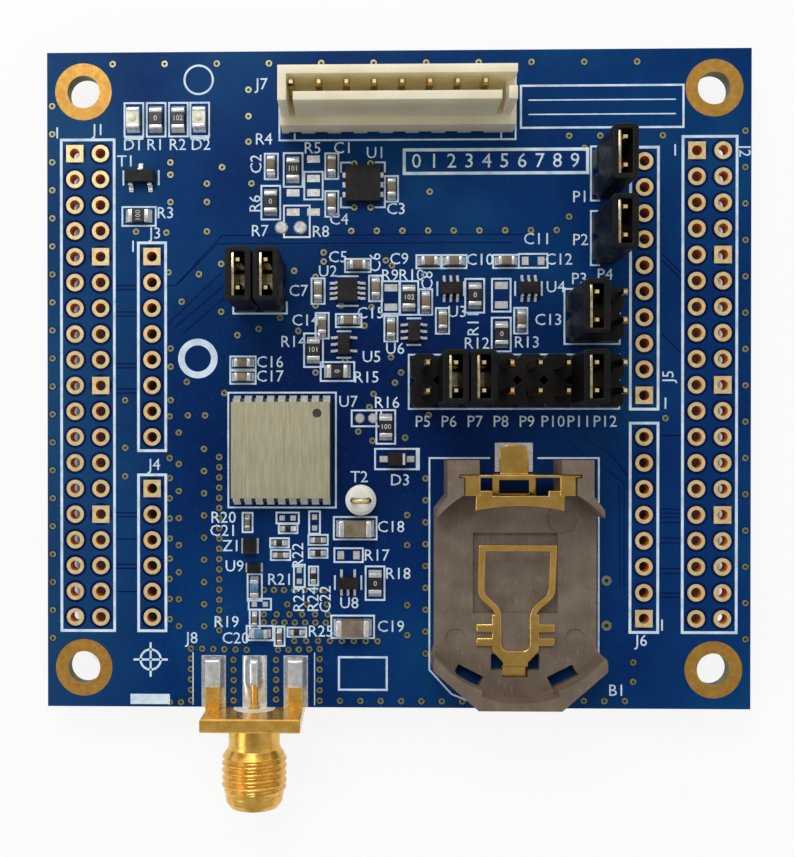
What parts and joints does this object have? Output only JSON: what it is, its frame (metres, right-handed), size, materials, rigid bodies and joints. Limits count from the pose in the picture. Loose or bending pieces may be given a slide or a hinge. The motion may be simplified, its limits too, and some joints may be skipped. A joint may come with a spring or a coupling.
{
  "type": "satellite receiver board",
  "caption": "Blue circuit board with a shielded satellite receiver module, edge antenna jack, coin cell holder, wire header and jumper headers.",
  "frame": {"origin": "middle of the mounting hole pattern, on the underside of the board", "axes": "+Z out of the component side, +Y towards the edge with the wire header, -Y towards the antenna jack"},
  "size_m": [0.069, 0.0739, 0.0128],
  "materials": {
    "board_mask": "solder mask, satin",
    "gold_plate": "gold plated",
    "hole_plating": "gold plated",
    "solder": "tinned",
    "jack_gold": "gold plated, polished",
    "insulator_white": "matte",
    "module_mask": "solder mask",
    "shield_metal": "tinned sheet",
    "chip_black": "moulded, matte",
    "holder_plastic": "moulded, satin",
    "contact_brass": "gold plated sheet",
    "ivory_plastic": "moulded, satin",
    "pin_gold": "gold plated",
    "header_black": "moulded, satin",
    "clip_metal": "tinned",
    "capacitor_ceramic": "fired, satin",
    "resistor_ceramic": "glazed top",
    "light_clear": "clear moulded",
    "inductor_blue": "coated",
    "bead_white": "glass bead"
  },
  "bodies": {
    "root": {"circuit_board": "board_mask", "mounting_hole_lands": "gold_plate", "left_outer_header_holes": "hole_plating", "right_outer_header_holes": "hole_plating", "left_upper_header_holes": "hole_plating", "left_lower_header_holes": "hole_plating", "right_upper_header_holes": "hole_plating", "right_lower_header_holes": "hole_plating", "bare_solder_pads": "solder", "antenna_jack_pads": "gold_plate", "antenna_jack_body": "jack_gold", "antenna_jack_insulator": "insulator_white", "antenna_jack_contact": "jack_gold", "antenna_jack_solder": "solder", "module_board": "module_mask", "module_terminals": "solder", "module_shield": "shield_metal", "module_receiver_chip": "chip_black", "module_crystal": "shield_metal", "battery_holder_body": "holder_plastic", "battery_side_contact": "contact_brass", "battery_base_contact": "contact_brass", "battery_holder_pads": "solder", "wire_header_housing": "ivory_plastic", "wire_header_pins": "pin_gold", "jumper_row_base": "header_black", "jumper_row_pins": "pin_gold", "right_jumper_base": "header_black", "right_jumper_pins": "pin_gold", "left_jumper_base": "header_black", "left_jumper_pins": "pin_gold", "single_jumper_bases": "header_black", "single_jumper_pins": "pin_gold", "jumper_caps": "header_black", "jumper_cap_clips": "clip_metal", "pin_solder": "solder", "chip_solder": "solder", "resistor_bodies": "resistor_ceramic", "resistor_ends": "solder", "capacitor_bodies": "capacitor_ceramic", "capacitor_ends": "solder", "large_capacitor_bodies": "capacitor_ceramic", "large_capacitor_ends": "solder", "light_bodies": "light_clear", "light_ends": "solder", "inductor_bodies": "inductor_blue", "inductor_ends": "solder", "transistor_body_block": "chip_black", "transistor_leads": "solder", "diode_body_block": "chip_black", "diode_leads": "solder", "eight_lead_chip": "chip_black", "eight_lead_chip_leads": "solder", "small_chips": "chip_black", "small_chip_leads": "solder", "sensor_package": "chip_black", "antenna_filter": "chip_black", "antenna_amplifier": "chip_black", "test_point_bead": "bead_white", "test_point_loop": "pin_gold"}
  },
  "joints": []
}
